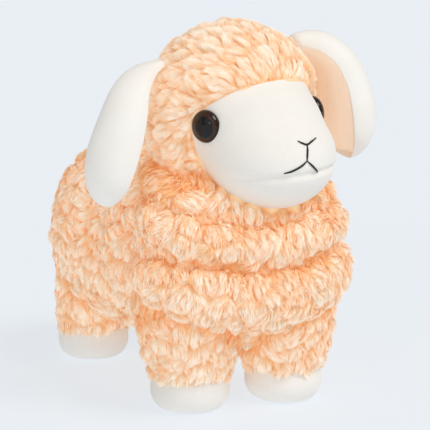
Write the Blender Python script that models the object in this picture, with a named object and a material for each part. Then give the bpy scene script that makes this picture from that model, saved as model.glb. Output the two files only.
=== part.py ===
"""A standing plush sheep: long curly pile on the body, legs and head, short white cloth on the face, feet and ears.

Metres, +Z up. The sheep looks along -Y and its own left side is +X. The origin is on the floor, under the
middle of its bounding box. Every cover is a shell as thick as its cloth and pile, with its filling inside.
"""

import math
from collections import namedtuple

import bmesh
import bpy
import numpy as np
from mathutils import Matrix, Vector

# A lump is an ellipsoid: its centre, its half sizes, and its lean, nose down, about the X axis.
Lump = namedtuple("Lump", "centre reach lean")
# A form is the union of its lumps, seen from its core. Blend softens the creases between them.
Form = namedtuple("Form", "core lumps blend")

# Cloth, pile and clearances
CLEARANCE = 0.0003
OVERRUN = 0.02
BODY_PILE = 0.011
HEAD_PILE = 0.0165
BACKING = 0.0018
BODY_WALL = BODY_PILE + BACKING
HEAD_WALL = HEAD_PILE + BACKING
SHORT_CLOTH = 0.002
LINING_CLOTH = 0.0025

# Body: haunch, flank, chest and brisket, then three sagging rolls of pile across the chest
HAUNCH = Lump((0, 0.060, 0.116), (0.088, 0.086, 0.085), 0)
FLANK = Lump((0, -0.038, 0.122), (0.091, 0.064, 0.079), 0)
CHEST = Lump((0, -0.098, 0.123), (0.088, 0.064, 0.070), 0)
BRISKET = Lump((0, -0.084, 0.082), (0.083, 0.054, 0.042), 0)
ROLL_LEAN = math.radians(20)
LOWER_ROLL = Lump((0, -0.104, 0.110), (0.094, 0.066, 0.042), ROLL_LEAN)
UPPER_ROLL = Lump((0, -0.104, 0.151), (0.088, 0.066, 0.032), ROLL_LEAN)
RUFF = Lump((0, -0.096, 0.180), (0.080, 0.064, 0.019), ROLL_LEAN)
BODY = Form((0, -0.022, 0.115), (HAUNCH, FLANK, CHEST, BRISKET, LOWER_ROLL, UPPER_ROLL, RUFF), 0.0025)
NECK_RADIUS = 0.026
NECK_TOP = 0.209

# Head, in a frame at its centre that is turned to the sheep's left and tipped to its right
HEAD_CENTRE = (0, -0.084, 0.229)
HEAD_TURN = math.radians(5)
HEAD_TIP = math.radians(-5)
HEAD = Form((0, 0, 0), (Lump((0, 0, 0), (0.075, 0.071, 0.0745), 0),), 0.001)
# The bare face lies at the head's skin, inside the pile, and the muzzle and chin stand out from it
FACE = Lump((0, -0.018, 0), (0.0517, 0.0457, 0.054), 0)
MUZZLE = Lump((0, -0.046, -0.027), (0.050, 0.051, 0.040), math.radians(12))
CHIN = Lump((0, -0.052, -0.030), (0.046, 0.044, 0.036), math.radians(10))
SNOUT = Form((0, -0.036, -0.014), (FACE, MUZZLE, CHIN), 0.002)
# The pile parts round the face: as seen from the head's centre, this far to the sides, up and down
FACE_LEVEL = math.radians(-8)
FACE_ASIDE = math.radians(60)
FACE_UP = math.radians(31)
FACE_DOWN = math.radians(58)
CONE_LENGTH = 0.2
MOUTH_HEIGHT = -0.038

# Eyes: a domed safety eye whose shank passes through the cloth to a washer
EYE_RADIUS = 0.0123
EYE_DOME = 0.007
EYE_RIM = 0.0015
EYE_SEAT = (0.0468, -0.0375, -0.0008)
EYE_FACING = (0.93, -0.36, 0.06)
SHANK_RADIUS = 0.0024
SHANK_LENGTH = 0.014
WASHER_RADIUS = 0.0085
WASHER_THICKNESS = 0.0016

# Ears: a padded leaf that leaves the head sideways and droops, each in its own pose
EarPose = namedtuple("EarPose", "lift droop bend_length twist")
LEFT_EAR = EarPose(math.radians(3), math.radians(91), 0.063, math.radians(-14))
RIGHT_EAR = EarPose(math.radians(-12), math.radians(57), 0.051, math.radians(-12))
EAR_RISE = math.radians(36)
EAR_SET_BACK = math.radians(-6)
EAR_ROOT_LIFT = 0.002
EAR_ROOT_RADIUS = 0.006
EAR_ROOT_OVERHANG = 0.001
EAR_LENGTH = 0.121
EAR_WIDTH = 0.055
EAR_BULGE = 0.025
EAR_CUP = 0.005
EAR_FILL_EDGE = 0.003
# Each row: the share of the length, then the shares of the width and of the bulge there
EAR_LEAF_SHARES = (
    (0.00, 0.50, 0.20),
    (0.10, 0.58, 0.38),
    (0.20, 0.68, 0.57),
    (0.32, 0.81, 0.77),
    (0.45, 0.92, 0.92),
    (0.60, 0.99, 1.00),
    (0.72, 1.00, 1.00),
    (0.84, 0.90, 0.87),
    (0.93, 0.70, 0.64),
    (0.98, 0.42, 0.38),
    (1.00, 0.14, 0.13),
)
EAR_HOLLOW_SHARES = (0.14, 0.97)
EAR_FILL_END_SHARE = 0.93
EAR_TWIST_END_SHARE = 0.6

# Feet: an arc from the sole out to the widest place, and one from there in to the ankle
FRONT_LEFT_FOOT = (0.0375, -0.102)
FRONT_RIGHT_FOOT = (-0.042, -0.092)
REAR_LEFT_FOOT = (0.042, 0.092)
REAR_RIGHT_FOOT = (-0.042, 0.092)
SOLE_RADIUS = 0.0195
SOLE_THICKNESS = 0.002
FOOT_HEIGHT = 0.030
FOOT_RADIUS = 0.0312
FOOT_WIDEST = 0.016
ANKLE_RADIUS = 0.026

# Legs: their pile hangs as a skirt over the foot, and their tops end inside the body's form
LEG_TOP = 0.105
LEG_SKIRT = 0.005
LEG_RADIUS = 0.033
LEG_CORE_RADIUS = 0.0245
FRONT_LEG_SWELL = 0.010
REAR_LEG_SWELL = 0.001
CORE_SWELL_SHARE = 0.6
# Each row: the share of the leg's height, and the share of its swell there
LEG_SWELL_SHARES = ((0.0, 0.0), (0.08, 0.25), (0.25, 0.6), (0.52, 1.0), (0.8, 0.8), (1.0, 0.2))

# Tail: a short flat lobe of the same pile, hanging from its sewn root
TAIL_RISE = math.radians(12)
TAIL_LEAN = math.radians(12)
TAIL_LENGTH = 0.042
TAIL_WIDTH = 0.028
TAIL_THICKNESS = 0.014
TAIL_ROOT_RADIUS = 0.004
TAIL_ROOT_LIFT = 0.0015
# Each row: the share of the length, and the share of the width and thickness there
TAIL_LOBE_SHARES = ((0.0, 0.45), (0.15, 0.70), (0.4, 0.97), (0.65, 1.0), (0.85, 0.80), (0.96, 0.45), (1.0, 0.18))

# Counts of faces
BODY_CELLS = 17
BODY_CORE_CELLS = 6
CONE_SIDES = 20
HEAD_CELLS = 9
HEAD_CORE_CELLS = 5
SNOUT_CELLS = 8
SNOUT_CORE_CELLS = 5
TURNED_SIDES = 14
EYE_SIDES = 16
SMALL_SIDES = 12
ARC_STEPS = 3
INNER_ARC_STEPS = 2
EAR_COLUMNS = 6

# Each look: a name, a colour and a roughness
FUR = ("fur", (0.95, 0.68, 0.43), 0.95)
WHITE = ("short_white_cloth", (0.93, 0.90, 0.83), 0.85)
PEACH = ("peach_lining", (0.94, 0.70, 0.50), 0.9)
FIBRE = ("polyester_fibre", (0.88, 0.88, 0.88), 1.0)
EYE_PLASTIC = ("eye_plastic", (0.018, 0.009, 0.005), 0.05)
WASHER_PLASTIC = ("washer_plastic", (0.75, 0.75, 0.72), 0.4)
CREASE_ANGLE = math.radians(50)


def clear_scene():
    for item in list(bpy.data.objects):
        bpy.data.objects.remove(item, do_unlink=True)


def material(look):
    """The material of that look, made once."""
    name, colour, roughness = look
    found = bpy.data.materials.get(name)
    if found:
        return found
    made = bpy.data.materials.new(name)
    made.use_nodes = True
    shader = made.node_tree.nodes["Principled BSDF"]
    shader.inputs["Base Color"].default_value = (*colour, 1)
    shader.inputs["Roughness"].default_value = roughness
    shader.inputs["Metallic"].default_value = 0
    return made


def frame(name, parent, location=(0, 0, 0), rotation=(0, 0, 0)):
    """An empty that carries pieces."""
    made = bpy.data.objects.new(name, None)
    bpy.context.collection.objects.link(made)
    made.parent = parent
    made.location = location
    made.rotation_euler = rotation
    return made


def piece(name, shape, look, parent):
    """A named object made from a bmesh, which it frees."""
    bmesh.ops.recalc_face_normals(shape, faces=shape.faces)
    mesh = bpy.data.meshes.new(name)
    shape.to_mesh(mesh)
    shape.free()
    mesh.shade_smooth()
    mesh.set_sharp_from_angle(angle=CREASE_ANGLE)
    if look:
        mesh.materials.append(material(look))
    made = bpy.data.objects.new(name, mesh)
    bpy.context.collection.objects.link(made)
    made.parent = parent
    return made


def cutter(name, shape, parent):
    made = piece(name, shape, None, parent)
    made.hide_render = True
    made.display_type = "WIRE"
    return made


def combine(operation, target, others):
    """Boolean modifiers, in order."""
    for other in others:
        step = target.modifiers.new(other.name, "BOOLEAN")
        step.operation = operation
        step.object = other


def cut(target, *others):
    combine("DIFFERENCE", target, others)


def join(target, *others):
    combine("UNION", target, others)


def exit_distances(form, rays):
    """How far each unit ray runs from the form's core to its outside."""
    distances = []
    for lump in form.lumps:
        turn = np.array(Matrix.Rotation(lump.lean, 3, "X"))
        start = (np.array(form.core) - lump.centre) @ turn / lump.reach
        step = rays @ turn / lump.reach
        square = (step * step).sum(axis=1)
        half = step @ start
        inside = half * half - square * (start @ start - 1)
        distances.append(np.where(inside > 0, (np.sqrt(np.maximum(inside, 0)) - half) / square, 0))
    distances = np.array(distances) / form.blend
    largest = distances.max(axis=0)
    return form.blend * (largest + np.log(np.exp(distances - largest).sum(axis=0)))


def on_surface(form, direction):
    """The point where a ray from the form's core leaves it, and the ray."""
    ray = Vector(direction).normalized()
    return Vector(form.core) + ray * float(exit_distances(form, np.array([ray]))[0]), ray


def puffed(form, cells, inset=0):
    """The form as a ball of square cells, with its skin moved in by inset."""
    shape = bmesh.new()
    bmesh.ops.create_cube(shape, size=2)
    bmesh.ops.subdivide_edges(shape, edges=shape.edges, cuts=cells - 1, use_grid_fill=True)
    rays = [Vector([math.tan(part * math.pi / 4) for part in point.co]).normalized() for point in shape.verts]
    distances = exit_distances(form, np.array(rays)) - inset
    for point, ray, distance in zip(shape.verts, rays, distances):
        point.co = Vector(form.core) + ray * float(distance)
    bmesh.ops.triangulate(shape, faces=shape.faces)
    return shape


def skin(rows, closed=False):
    """A skin over rows of points. A row of one point is a tip, and an open end of more points is capped."""
    shape = bmesh.new()
    rows = [[shape.verts.new(point) for point in row] for row in rows]
    follow = rows[1:] + rows[:1] if closed else rows[1:]
    for low, high in zip(rows, follow):
        for step in range(max(len(low), len(high))):
            corners = [low[step % len(low)], low[(step + 1) % len(low)]]
            corners += [high[(step + 1) % len(high)], high[step % len(high)]]
            shape.faces.new(dict.fromkeys(corners))
    for end in () if closed else (rows[0], rows[-1]):
        if len(end) > 1:
            shape.faces.new(end)
    bmesh.ops.triangulate(shape, faces=shape.faces)
    return shape


def turned(profile, sides, closed=False):
    """A profile of (radius, height) turned about Z. A radius of zero is a pole."""
    angles = [2 * math.pi * step / sides for step in range(sides)]
    rows = []
    for radius, height in profile:
        if radius:
            rows.append([(radius * math.cos(angle), radius * math.sin(angle), height) for angle in angles])
        else:
            rows.append([(0, 0, height)])
    return skin(rows, closed)


def post(radius, bottom, top, sides=TURNED_SIDES):
    return turned([(0, bottom), (radius, bottom), (radius, top), (0, top)], sides)


def bar(radius, half_length, across):
    """A round bar about the frame's origin, along X, or along Y where across is X."""
    shape = post(radius, -half_length, half_length, SMALL_SIDES)
    half_side = Matrix.Rotation(math.pi / SMALL_SIDES, 3, "Z")
    bmesh.ops.rotate(shape, verts=shape.verts, matrix=Matrix.Rotation(math.pi / 2, 3, across) @ half_side)
    return shape


def arc(start, end, bulge_first, steps=ARC_STEPS):
    """A quarter of an ellipse from start to end, both (radius, height). It leaves start sideways or upright."""
    points = []
    for step in range(steps + 1):
        angle = math.pi / 2 * step / steps
        fast, slow = math.sin(angle), 1 - math.cos(angle)
        across, up = (fast, slow) if bulge_first else (slow, fast)
        points.append((start[0] + (end[0] - start[0]) * across, start[1] + (end[1] - start[1]) * up))
    return points


def shares_at(table, place):
    """The table's shares at a place along it."""
    places, *columns = zip(*table)
    return [float(np.interp(place, places, column)) for column in columns]


class Body:
    """The body's cover and filling, and the cutters that seat other pieces on them."""

    def __init__(self, root):
        self.cover = piece("body_cover", puffed(BODY, BODY_CELLS), FUR, root)
        self.filling = piece("body_filling", puffed(BODY, BODY_CORE_CELLS, BODY_WALL + CLEARANCE), FIBRE, root)
        self.seat = cutter("body_seat", puffed(BODY, BODY_CELLS, -CLEARANCE), root)
        hollow = cutter("body_hollow", puffed(BODY, BODY_CORE_CELLS, BODY_WALL), root)
        neck = frame("neck", root, (HEAD_CENTRE[0], HEAD_CENTRE[1], 0))
        self.neck_bore = cutter("neck_bore", post(NECK_RADIUS, BODY.core[2], NECK_TOP), neck)
        plug = cutter("neck_plug", post(NECK_RADIUS - CLEARANCE, BODY.core[2], NECK_TOP - CLEARANCE), neck)
        cut(self.cover, hollow, self.neck_bore)
        join(self.filling, plug)


def face_cone(slack):
    """A cone from the head's centre through the edge of the bare face, wider by an angle of slack."""
    rim = []
    for step in range(CONE_SIDES):
        turn = 2 * math.pi * step / CONE_SIDES
        aside = (FACE_ASIDE + slack) * math.cos(turn)
        reach = (FACE_UP if math.sin(turn) > 0 else FACE_DOWN) + slack
        rise = FACE_LEVEL + reach * math.sin(turn)
        ray = Vector((math.sin(aside) * math.cos(rise), -math.cos(aside) * math.cos(rise), math.sin(rise)))
        rim.append(ray * CONE_LENGTH)
    return skin([[(0, 0, 0)], rim, [sum(rim, Vector()) / CONE_SIDES]])


class Head:
    """The head's cover and filling. The filling bulges through the cover's face opening into the snout."""

    def __init__(self, root, body):
        self.frame = frame("head", root, HEAD_CENTRE, (0, HEAD_TIP, HEAD_TURN))
        self.cover = piece("head_cover", puffed(HEAD, HEAD_CELLS), FUR, self.frame)
        self.filling = piece(
            "head_filling", puffed(HEAD, HEAD_CORE_CELLS, HEAD_WALL + CLEARANCE), FIBRE, self.frame
        )
        hollow = cutter("head_hollow", puffed(HEAD, HEAD_CORE_CELLS, HEAD_WALL), self.frame)
        parting = cutter("fur_parting", face_cone(CLEARANCE / min(FACE.reach)), self.frame)
        self.snout_hollow = cutter("snout_hollow", puffed(SNOUT, SNOUT_CORE_CELLS, SHORT_CLOTH), self.frame)
        bulge = cutter(
            "snout_filling", puffed(SNOUT, SNOUT_CORE_CELLS, SHORT_CLOTH + CLEARANCE), self.frame
        )
        cut(self.cover, hollow, parting, self.snout_hollow, body.seat)
        join(self.filling, bulge)
        cut(self.filling, body.seat, body.neck_bore)


def half_space(name, parent, height, way):
    """A block over or under the mouth. It reaches half a clearance past the mouth, to leave the two cloths apart."""
    reach = max(max(lump.reach) for lump in SNOUT.lumps) + OVERRUN
    centre = SNOUT.core[1]
    near = height - way * CLEARANCE / 2
    corners = [(x, centre + y) for x, y in ((-reach, -reach), (reach, -reach), (reach, reach), (-reach, reach))]
    rows = [[(x, y, level) for x, y in corners] for level in (near, near + way * 2 * reach)]
    return cutter(name, skin(rows), parent)


def make_face(head, body):
    """The snout above the mouth and the chin below it, two cloths sewn together along the mouth."""
    above = half_space("above_mouth", head.frame, MOUTH_HEIGHT, 1)
    below = half_space("below_mouth", head.frame, MOUTH_HEIGHT, -1)
    cone = cutter("face_cone", face_cone(0), head.frame)
    covers = []
    for name, away in (("snout_cover", below), ("chin_cover", above)):
        cover = piece(name, puffed(SNOUT, SNOUT_CELLS), WHITE, head.frame)
        combine("INTERSECT", cover, [cone])
        cut(cover, away, head.snout_hollow, body.seat)
        covers.append(cover)
    return covers


def make_eye(side, name, head, covers):
    """A domed eye with its shank and, inside the head, its washer."""
    mirror = Vector((side, 1, 1))
    facing = (Vector(EYE_FACING) * mirror).to_track_quat("Z", "Y").to_euler()
    seat = frame(name + "_seat", head.frame, Vector(EYE_SEAT) * mirror, facing)
    shank = [(0, -SHANK_LENGTH), (SHANK_RADIUS, -SHANK_LENGTH), (SHANK_RADIUS, 0)]
    dome = arc((EYE_RADIUS, EYE_RIM), (0, EYE_RIM + EYE_DOME), bulge_first=False)
    piece(name, turned([*shank, (EYE_RADIUS, 0), *dome], EYE_SIDES), EYE_PLASTIC, seat)
    washer_top = -SHORT_CLOTH - CLEARANCE
    washer_foot = washer_top - WASHER_THICKNESS
    bore = SHANK_RADIUS + CLEARANCE
    ring = [(bore, washer_foot), (WASHER_RADIUS, washer_foot), (WASHER_RADIUS, washer_top), (bore, washer_top)]
    piece(name + "_washer", turned(ring, SMALL_SIDES, closed=True), WASHER_PLASTIC, seat)
    deepest = -SHANK_LENGTH - CLEARANCE
    washer_reach = WASHER_RADIUS + CLEARANCE
    eye_reach = EYE_RADIUS + CLEARANCE
    room = [(0, deepest), (bore, deepest), (bore, washer_foot - CLEARANCE), (washer_reach, washer_foot - CLEARANCE)]
    room += [(washer_reach, -SHORT_CLOTH), (bore, -SHORT_CLOTH), (bore, -CLEARANCE), (eye_reach, -CLEARANCE)]
    room += [(eye_reach, OVERRUN), (0, OVERRUN)]
    room = cutter(name + "_room", turned(room, EYE_SIDES), seat)
    for cushion in (head.cover, head.filling, *covers):
        cut(cushion, room)


def ear_rows(side, pose, span, section):
    """Rows of points along the drooping ear. The section gives (across, out) points for a width and a bulge."""
    start, end = span
    stations = [start, *(row[0] for row in EAR_LEAF_SHARES if start < row[0] < end), end]
    rows = []
    for station in stations:
        width, bulge = shares_at(EAR_LEAF_SHARES, station)
        run = station * EAR_LENGTH
        bend_radius = pose.bend_length / pose.droop
        angle = pose.droop * min(run / pose.bend_length, 1)
        straight = max(run - pose.bend_length, 0)
        centre = Vector((math.sin(angle), 0, math.cos(angle) - 1)) * bend_radius
        centre += Vector((math.cos(angle), 0, -math.sin(angle))) * straight
        out = Vector((math.sin(angle), 0, math.cos(angle)))
        twist = pose.twist * min(station / EAR_TWIST_END_SHARE, 1)
        across = Vector((0, 1, 0)) * math.cos(twist) + out * math.sin(twist)
        out = out * math.cos(twist) - Vector((0, 1, 0)) * math.sin(twist)
        points = [centre + across * u + out * v for u, v in section(width * EAR_WIDTH / 2, bulge)]
        rows.append([(point.x * side, point.y, point.z) for point in points])
    return rows


def columns(half_width):
    return [-half_width * math.cos(math.pi * step / EAR_COLUMNS) for step in range(EAR_COLUMNS + 1)]


def dome(u, half_width, height):
    return height * math.sqrt(max(1 - (u / half_width) ** 2, 0))


def inner_face(u, half_width, bulge):
    """How far the ear's inner face is cupped towards its back."""
    return EAR_CUP * bulge * (1 - (u / half_width) ** 2)


def pad_section(half_width, bulge):
    """The whole ear: its domed back and its cupped inner face, meeting at the edges."""
    across = columns(half_width)
    back = [(u, dome(u, half_width, bulge * EAR_BULGE)) for u in across]
    return back + [(u, inner_face(u, half_width, bulge)) for u in across[-2:0:-1]]


def hollow_roof(half_width, bulge):
    """The inside of the back's cloth, which leaves room for the lining at its edges."""
    inner = half_width - SHORT_CLOTH
    least = LINING_CLOTH + CLEARANCE
    roof = []
    for u in columns(inner):
        height = dome(u, inner, bulge * EAR_BULGE - SHORT_CLOTH)
        roof.append((u, max(height, inner_face(u, half_width, bulge) + least)))
    return roof


def hollow_section(half_width, bulge):
    """What is inside the back's cloth, open on the inner face."""
    roof = hollow_roof(half_width, bulge)
    return roof + [(u, -OVERRUN) for u, _ in reversed(roof)]


def lining_section(half_width, bulge):
    across = columns(half_width - SHORT_CLOTH - CLEARANCE)
    low = [(u, inner_face(u, half_width, bulge)) for u in across]
    return [(u, v + LINING_CLOTH) for u, v in reversed(low)] + low


def filling_section(half_width, bulge):
    """What is between the lining and the hollow's roof."""
    roof_places, roof_heights = zip(*hollow_roof(half_width, bulge))
    across = columns(half_width - SHORT_CLOTH - CLEARANCE - EAR_FILL_EDGE)
    low = [(u, inner_face(u, half_width, bulge) + LINING_CLOTH + CLEARANCE) for u in across]
    high = [(u, float(np.interp(u, roof_places, roof_heights)) - CLEARANCE) for u in across]
    return high[::-1] + low


def make_ear(side, name, pose, head):
    """An ear on its hinge: the white back with its rolled root, the peach lining and the filling between."""
    rise = (math.cos(EAR_RISE) * math.cos(EAR_SET_BACK), math.sin(EAR_SET_BACK), math.sin(EAR_RISE))
    point, ray = on_surface(HEAD, Vector(rise) * Vector((side, 1, 1)))
    hinge = frame(name + "_hinge", head.frame, point + ray * EAR_ROOT_LIFT, (0, -side * pose.lift, 0))
    root_half = shares_at(EAR_LEAF_SHARES, 0)[0] * EAR_WIDTH / 2 + EAR_ROOT_OVERHANG
    start, end = EAR_HOLLOW_SHARES
    slack = CLEARANCE / EAR_LENGTH
    back = piece(name + "_back", skin(ear_rows(side, pose, (0, 1), pad_section)), WHITE, hinge)
    root = cutter(name + "_root", bar(EAR_ROOT_RADIUS, root_half, "X"), hinge)
    hollow = cutter(name + "_hollow", skin(ear_rows(side, pose, (start, end), hollow_section)), hinge)
    join(back, root)
    cut(back, hollow)
    inside = (start + slack, end - slack)
    piece(name + "_lining", skin(ear_rows(side, pose, inside, lining_section)), PEACH, hinge)
    filled = (start + slack, EAR_FILL_END_SHARE)
    piece(name + "_filling", skin(ear_rows(side, pose, filled, filling_section)), FIBRE, hinge)
    channel = cutter(name + "_channel", bar(EAR_ROOT_RADIUS + CLEARANCE, root_half + CLEARANCE, "X"), hinge)
    cut(head.cover, channel)


def foot_outline(inset, foot, steps=ARC_STEPS):
    """The foot's side from the sole's edge at height foot to the ankle, moved in by inset."""
    widest = (FOOT_RADIUS - inset, FOOT_WIDEST)
    lower = arc((SOLE_RADIUS, foot), widest, bulge_first=True, steps=steps)
    return lower + arc(widest, (ANKLE_RADIUS - inset, FOOT_HEIGHT), bulge_first=False, steps=steps)[1:]


def leg_side(radius, swell, rows):
    """A leg tube's side, from the bottom of its skirt to its top."""
    skirt = FOOT_HEIGHT - LEG_SKIRT
    return [(radius + swell * share, skirt + (LEG_TOP - skirt) * place) for place, share in rows]


def make_leg(name, place, swell, root, body):
    """A leg tube of pile, its foot of short cloth, the sole, and one filling for leg and foot."""
    stand = frame(name, root, (*place, 0))
    widest = max(LEG_SWELL_SHARES, key=lambda row: row[1])
    core_rows = (LEG_SWELL_SHARES[0], widest, LEG_SWELL_SHARES[-1])
    core_swell = swell * CORE_SWELL_SHARE
    outer = leg_side(LEG_RADIUS, swell, LEG_SWELL_SHARES)
    inner = leg_side(LEG_CORE_RADIUS, core_swell, core_rows)
    leg = piece(name + "_leg_cover", turned(outer + inner[::-1], TURNED_SIDES, closed=True), FUR, stand)
    foot_top = FOOT_HEIGHT + CLEARANCE
    foot = [(0, 0), *foot_outline(-CLEARANCE, 0), (ANKLE_RADIUS + CLEARANCE, foot_top), (0, foot_top)]
    cut(leg, body.seat, cutter(name + "_foot_seat", turned(foot, TURNED_SIDES), stand))
    cup = foot_outline(0, 0) + foot_outline(SHORT_CLOTH, SHORT_CLOTH, INNER_ARC_STEPS)[::-1]
    piece(name + "_foot_cover", turned(cup, TURNED_SIDES, closed=True), WHITE, stand)
    piece(name + "_foot_sole", post(SOLE_RADIUS - CLEARANCE, 0, SOLE_THICKNESS), WHITE, stand)
    floor = SOLE_THICKNESS + CLEARANCE
    inside = [(0, floor), *foot_outline(SHORT_CLOTH + CLEARANCE, floor, INNER_ARC_STEPS)]
    inside += [(LEG_CORE_RADIUS - CLEARANCE, foot_top)]
    inside += leg_side(LEG_CORE_RADIUS - CLEARANCE, core_swell, core_rows[1:]) + [(0, LEG_TOP)]
    filling = piece(name + "_leg_filling", turned(inside, TURNED_SIDES), FIBRE, stand)
    cut(filling, body.seat)


def make_tail(root, body):
    """A lobe of pile that lies against the rump and lifts about its sewn root."""
    point, ray = on_surface(BODY, (0, math.cos(TAIL_RISE), math.sin(TAIL_RISE)))
    hinge = frame("tail_hinge", root, point + ray * TAIL_ROOT_LIFT)
    along = Vector((0, math.sin(TAIL_LEAN), -math.cos(TAIL_LEAN)))
    out = Vector((0, math.cos(TAIL_LEAN), math.sin(TAIL_LEAN)))
    rows = []
    for place, share in TAIL_LOBE_SHARES:
        turns = [2 * math.pi * step / SMALL_SIDES for step in range(SMALL_SIDES)]
        half_width = Vector((1, 0, 0)) * share * TAIL_WIDTH / 2
        half_depth = out * share * TAIL_THICKNESS / 2
        centre = along * place * TAIL_LENGTH
        rows.append([centre + half_width * math.cos(turn) + half_depth * math.sin(turn) for turn in turns])
    tail = piece("tail_cover", skin(rows), FUR, hinge)
    half = TAIL_LOBE_SHARES[0][1] * TAIL_WIDTH / 2
    cut(tail, body.seat)
    join(tail, cutter("tail_root", bar(TAIL_ROOT_RADIUS, half, "Y"), hinge))
    channel = cutter("tail_channel", bar(TAIL_ROOT_RADIUS + CLEARANCE, half + CLEARANCE, "Y"), hinge)
    cut(body.cover, channel)


def stand_on_origin(root):
    """Moves the sheep so that the middle of its box is over the origin."""
    bpy.context.view_layer.update()
    graph = bpy.context.evaluated_depsgraph_get()
    places = []
    for item in bpy.data.objects:
        if item.type == "MESH" and not item.hide_render:
            made = item.evaluated_get(graph)
            places += [made.matrix_world @ point.co for point in made.data.vertices]
    places = np.array(places)
    middle = (places.min(axis=0) + places.max(axis=0)) / 2
    root.location = (-middle[0], -middle[1], 0)


def main():
    clear_scene()
    root = frame("sheep", None)
    body = Body(root)
    head = Head(root, body)
    covers = make_face(head, body)
    for side, way, pose in (("left", 1, LEFT_EAR), ("right", -1, RIGHT_EAR)):
        make_eye(way, side + "_eye", head, covers)
        make_ear(way, side + "_ear", pose, head)
    make_leg("front_left", FRONT_LEFT_FOOT, FRONT_LEG_SWELL, root, body)
    make_leg("front_right", FRONT_RIGHT_FOOT, FRONT_LEG_SWELL, root, body)
    make_leg("rear_left", REAR_LEFT_FOOT, REAR_LEG_SWELL, root, body)
    make_leg("rear_right", REAR_RIGHT_FOOT, REAR_LEG_SWELL, root, body)
    make_tail(root, body)
    stand_on_origin(root)


main()
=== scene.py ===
"""The looks of the plush sheep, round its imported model: skins, pile, short cloth, ears, eyes and stitches.

Metres, +Z up. The sheep looks along -Y.
"""

import math
from collections import namedtuple

import bmesh
import bpy
import numpy as np
from mathutils import Matrix, Vector
from mathutils.bvhtree import BVHTree
from mathutils.kdtree import KDTree


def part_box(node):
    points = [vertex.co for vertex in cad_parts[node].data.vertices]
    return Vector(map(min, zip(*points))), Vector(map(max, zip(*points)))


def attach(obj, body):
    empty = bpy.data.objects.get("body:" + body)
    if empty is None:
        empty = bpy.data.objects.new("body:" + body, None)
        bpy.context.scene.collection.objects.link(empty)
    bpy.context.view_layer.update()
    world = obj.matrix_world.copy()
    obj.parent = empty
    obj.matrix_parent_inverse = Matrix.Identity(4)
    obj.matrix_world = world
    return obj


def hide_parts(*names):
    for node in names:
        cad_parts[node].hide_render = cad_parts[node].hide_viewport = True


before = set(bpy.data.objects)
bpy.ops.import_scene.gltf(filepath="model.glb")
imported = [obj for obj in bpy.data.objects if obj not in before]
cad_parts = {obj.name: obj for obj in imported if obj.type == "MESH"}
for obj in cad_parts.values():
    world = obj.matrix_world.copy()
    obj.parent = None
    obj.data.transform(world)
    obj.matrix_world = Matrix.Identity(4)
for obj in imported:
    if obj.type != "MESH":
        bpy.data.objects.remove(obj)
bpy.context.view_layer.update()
rng = np.random.default_rng(7)

Lump = namedtuple("Lump", "centre reach lean")
Form = namedtuple("Form", "core lumps blend")
EarPose = namedtuple("EarPose", "lift droop bend_length twist rear_curl")
EarShape = namedtuple("EarShape", "front rear rear_root bulge root_bulge sink back")

Patch = namedtuple("Patch", "obj creases tufts")
Tufts = namedtuple("Tufts", "places sizes spacing waves")
# Strand length, tuft spacing and height, lock spacing, ribbon width, how high tips stand, how far tufts turn
Pile = namedtuple("Pile", "length tuft swell lock width lift swing")
# How dark pile is on a tuft's crown, and the painted shade that a hollow, a crease or a meeting of skins, and
# a lock's edge add, 0 cream to 1 orange
TonesAndPaintedShade = namedtuple("TonesAndPaintedShade", "crown hollow crease lock_edge")

SIDES = {"left": 1, "right": -1}
# The body, head, legs and tail have the part's own sizes. The snout, eyes and ears follow the toy closer.
ROLL_LEAN = math.radians(20)
HAUNCH = Lump((0, 0.060, 0.116), (0.088, 0.086, 0.085), 0)
FLANK = Lump((0, -0.038, 0.122), (0.091, 0.064, 0.079), 0)
CHEST = Lump((0, -0.098, 0.123), (0.088, 0.064, 0.070), 0)
BRISKET = Lump((0, -0.084, 0.082), (0.083, 0.054, 0.042), 0)
LOWER_ROLL = Lump((0, -0.104, 0.110), (0.094, 0.066, 0.042), ROLL_LEAN)
UPPER_ROLL = Lump((0, -0.104, 0.151), (0.088, 0.066, 0.032), ROLL_LEAN)
RUFF = Lump((0, -0.096, 0.180), (0.080, 0.064, 0.019), ROLL_LEAN)
BODY = Form((0, -0.022, 0.115), (HAUNCH, FLANK, CHEST, BRISKET, LOWER_ROLL, UPPER_ROLL, RUFF), 0.0025)
HEAD_CENTRE = (0, -0.084, 0.229)
HEAD_TURN = math.radians(5)
HEAD_TIP = math.radians(-5)
HEAD = Form((0, 0, 0), (Lump((0, 0, 0), (0.075, 0.071, 0.0745), 0),), 0.001)
FACE = Lump((0, -0.018, 0), (0.0540, 0.0472, 0.0545), 0)
CHEEKS = Lump((0, -0.034, -0.013), (0.0512, 0.0478, 0.0460), 0)
MUZZLE = Lump((0, -0.046, -0.027), (0.050, 0.051, 0.040), math.radians(12))
CHIN = Lump((0, -0.052, -0.030), (0.046, 0.044, 0.036), math.radians(10))
SNOUT = Form((0, -0.036, -0.014), (FACE, CHEEKS, MUZZLE, CHIN), 0.002)
FACE_LEVEL = math.radians(-8)
FACE_ASIDE = math.radians(60)
FACE_UP = math.radians(31)
FACE_DOWN = math.radians(58)
MOUTH_HEIGHT = -0.038
EYE_RADIUS = 0.0123
EYE_DOME = 0.007
EYE_RIM = 0.0015
EYE_SEATS = {"left": (0.0522, -0.0350, -0.0036), "right": (-0.0489, -0.0381, -0.0002)}
EYE_FACING = (0.942, -0.325, 0.06)
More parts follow.
